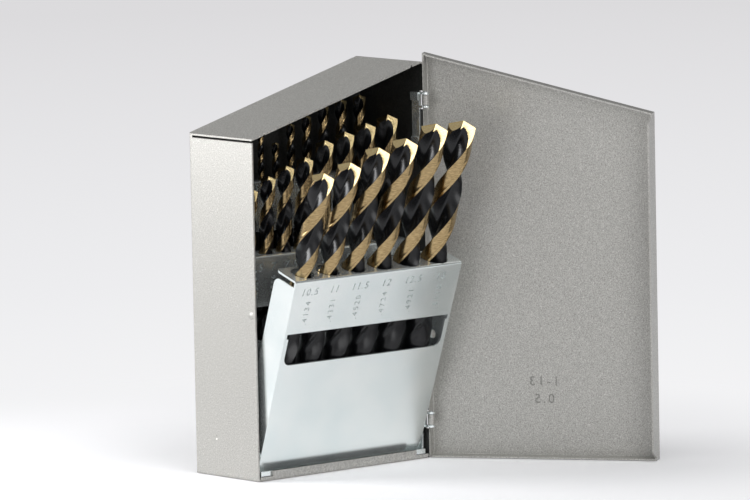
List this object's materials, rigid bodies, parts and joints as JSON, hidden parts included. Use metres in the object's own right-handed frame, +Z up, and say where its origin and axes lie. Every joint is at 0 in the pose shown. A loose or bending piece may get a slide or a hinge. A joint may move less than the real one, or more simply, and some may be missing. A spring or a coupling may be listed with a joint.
{
  "type": "drill bit case",
  "caption": "Folded steel drill bit case with a hinged lid, tilting racks and a full row of twist drills.",
  "frame": {"origin": "middle of the case's width and depth, on the plane it stands on", "axes": "+X along the open front towards the lid's hinges, +Y to the back of the case, +Z up"},
  "size_m": [0.1749, 0.1379, 0.1908],
  "materials": {
    "hammered_paint": "silver hammered enamel",
    "zinc_plate": "bright zinc plate",
    "bright_steel": "bright steel",
    "black_and_gold_steel": "black oxide flutes and straw coloured lands"
  },
  "bodies": {
    "case": {"case_shell": "hammered_paint", "rack_base": "zinc_plate", "base_rivets": "bright_steel", "rack_rivets": "bright_steel", "hinge_clip_upper": "zinc_plate", "hinge_clip_lower": "zinc_plate", "hinge_pin_upper": "bright_steel", "hinge_pin_lower": "bright_steel", "front_rack_rod": "bright_steel", "middle_rack_rod": "bright_steel", "back_rack": "zinc_plate", "back_rack_floor": "zinc_plate"},
    "lid": {"lid_shell": "hammered_paint"},
    "front_rack": {"front_rack": "zinc_plate", "front_rack_floor": "zinc_plate"},
    "middle_rack": {"middle_rack": "zinc_plate", "middle_rack_floor": "zinc_plate"},
    "drill_01_0": {"drill_01_0": "black_and_gold_steel"},
    "drill_01_5": {"drill_01_5": "black_and_gold_steel"},
    "drill_02_0": {"drill_02_0": "black_and_gold_steel"},
    "drill_02_5": {"drill_02_5": "black_and_gold_steel"},
    "drill_03_0": {"drill_03_0": "black_and_gold_steel"},
    "drill_03_5": {"drill_03_5": "black_and_gold_steel"},
    "drill_04_0": {"drill_04_0": "black_and_gold_steel"},
    "drill_04_5": {"drill_04_5": "black_and_gold_steel"},
    "drill_05_0": {"drill_05_0": "black_and_gold_steel"},
    "drill_05_5": {"drill_05_5": "black_and_gold_steel"},
    "drill_06_0": {"drill_06_0": "black_and_gold_steel"},
    "drill_06_5": {"drill_06_5": "black_and_gold_steel"},
    "drill_07_0": {"drill_07_0": "black_and_gold_steel"},
    "drill_07_5": {"drill_07_5": "black_and_gold_steel"},
    "drill_08_0": {"drill_08_0": "black_and_gold_steel"},
    "drill_08_5": {"drill_08_5": "black_and_gold_steel"},
    "drill_09_0": {"drill_09_0": "black_and_gold_steel"},
    "drill_09_5": {"drill_09_5": "black_and_gold_steel"},
    "drill_10_0": {"drill_10_0": "black_and_gold_steel"},
    "drill_10_5": {"drill_10_5": "black_and_gold_steel"},
    "drill_11_0": {"drill_11_0": "black_and_gold_steel"},
    "drill_11_5": {"drill_11_5": "black_and_gold_steel"},
    "drill_12_0": {"drill_12_0": "black_and_gold_steel"},
    "drill_12_5": {"drill_12_5": "black_and_gold_steel"},
    "drill_13_0": {"drill_13_0": "black_and_gold_steel"}
  },
  "joints": [
    {"name": "lid_hinge", "type": "hinge", "parent": "case", "child": "lid", "pos_m": [0.0532, -0.02335, 0], "axis": [0, 0, 1], "range_deg": [-125, 0]},
    {"name": "front_rack_hinge", "type": "hinge", "parent": "case", "child": "front_rack", "pos_m": [0, -0.01625, 0.0091], "axis": [1, 0, 0], "range_deg": [-19.1, 0]},
    {"name": "middle_rack_hinge", "type": "hinge", "parent": "case", "child": "middle_rack", "pos_m": [0, -0.00025, 0.0091], "axis": [1, 0, 0], "range_deg": [-5, 0]},
    {"name": "drill_01_0_lift", "type": "slide", "parent": "case", "child": "drill_01_0", "axis": [0, 0, 1], "range_m": [0, 0.0205]},
    {"name": "drill_01_5_lift", "type": "slide", "parent": "case", "child": "drill_01_5", "axis": [0, 0, 1], "range_m": [0, 0.0155]},
    {"name": "drill_02_0_lift", "type": "slide", "parent": "case", "child": "drill_02_0", "axis": [0, 0, 1], "range_m": [0, 0.014]},
    {"name": "drill_02_5_lift", "type": "slide", "parent": "case", "child": "drill_02_5", "axis": [0, 0, 1], "range_m": [0, 0.0165]},
    {"name": "drill_03_0_lift", "type": "slide", "parent": "case", "child": "drill_03_0", "axis": [0, 0, 1], "range_m": [0, 0.0085]},
    {"name": "drill_03_5_lift", "type": "slide", "parent": "case", "child": "drill_03_5", "axis": [0, 0, 1], "range_m": [0, 0.0175]},
    {"name": "drill_04_0_lift", "type": "slide", "parent": "case", "child": "drill_04_0", "axis": [0, 0, 1], "range_m": [0, 0.012]},
    {"name": "drill_04_5_lift", "type": "slide", "parent": "case", "child": "drill_04_5", "axis": [0, 0, 1], "range_m": [0, 0.0115]},
    {"name": "drill_05_0_lift", "type": "slide", "parent": "case", "child": "drill_05_0", "axis": [0, 0, 1], "range_m": [0, 0.01]},
    {"name": "drill_05_5_lift", "type": "slide", "parent": "case", "child": "drill_05_5", "axis": [0, 0, 1], "range_m": [0, 0.011]},
    {"name": "drill_06_0_lift", "type": "slide", "parent": "case", "child": "drill_06_0", "axis": [0, 0, 1], "range_m": [0, 0.013]},
    {"name": "drill_06_5_lift", "type": "slide", "parent": "middle_rack", "child": "drill_06_5", "axis": [0, -0.0872, 0.9962], "range_m": [0, 0.025]},
    {"name": "drill_07_0_lift", "type": "slide", "parent": "middle_rack", "child": "drill_07_0", "axis": [0, -0.0872, 0.9962], "range_m": [0, 0.0225]},
    {"name": "drill_07_5_lift", "type": "slide", "parent": "middle_rack", "child": "drill_07_5", "axis": [0, -0.0872, 0.9962], "range_m": [0, 0.0215]},
    {"name": "drill_08_0_lift", "type": "slide", "parent": "middle_rack", "child": "drill_08_0", "axis": [0, -0.0872, 0.9962], "range_m": [0, 0.0215]},
    {"name": "drill_08_5_lift", "type": "slide", "parent": "middle_rack", "child": "drill_08_5", "axis": [0, -0.0872, 0.9962], "range_m": [0, 0.0175]},
    {"name": "drill_09_0_lift", "type": "slide", "parent": "middle_rack", "child": "drill_09_0", "axis": [0, -0.0872, 0.9962], "range_m": [0, 0.018]},
    {"name": "drill_09_5_lift", "type": "slide", "parent": "middle_rack", "child": "drill_09_5", "axis": [0, -0.0872, 0.9962], "range_m": [0, 0.018]},
    {"name": "drill_10_0_lift", "type": "slide", "parent": "middle_rack", "child": "drill_10_0", "axis": [0, -0.0872, 0.9962], "range_m": [0, 0.0185]},
    {"name": "drill_10_5_lift", "type": "slide", "parent": "front_rack", "child": "drill_10_5", "axis": [0, -0.3272, 0.9449], "range_m": [0, 0.084]},
    {"name": "drill_11_0_lift", "type": "slide", "parent": "front_rack", "child": "drill_11_0", "axis": [0, -0.3272, 0.9449], "range_m": [0, 0.084]},
    {"name": "drill_11_5_lift", "type": "slide", "parent": "front_rack", "child": "drill_11_5", "axis": [0, -0.3272, 0.9449], "range_m": [0, 0.084]},
    {"name": "drill_12_0_lift", "type": "slide", "parent": "front_rack", "child": "drill_12_0", "axis": [0, -0.3272, 0.9449], "range_m": [0, 0.084]},
    {"name": "drill_12_5_lift", "type": "slide", "parent": "front_rack", "child": "drill_12_5", "axis": [0, -0.3272, 0.9449], "range_m": [0, 0.084]},
    {"name": "drill_13_0_lift", "type": "slide", "parent": "front_rack", "child": "drill_13_0", "axis": [0, -0.3272, 0.9449], "range_m": [0, 0.084]}
  ],
  "couplings": [
    {"joint": "front_rack_hinge", "follows": "lid_hinge", "ratio": 0.1528},
    {"joint": "middle_rack_hinge", "follows": "lid_hinge", "ratio": 0.04}
  ]
}
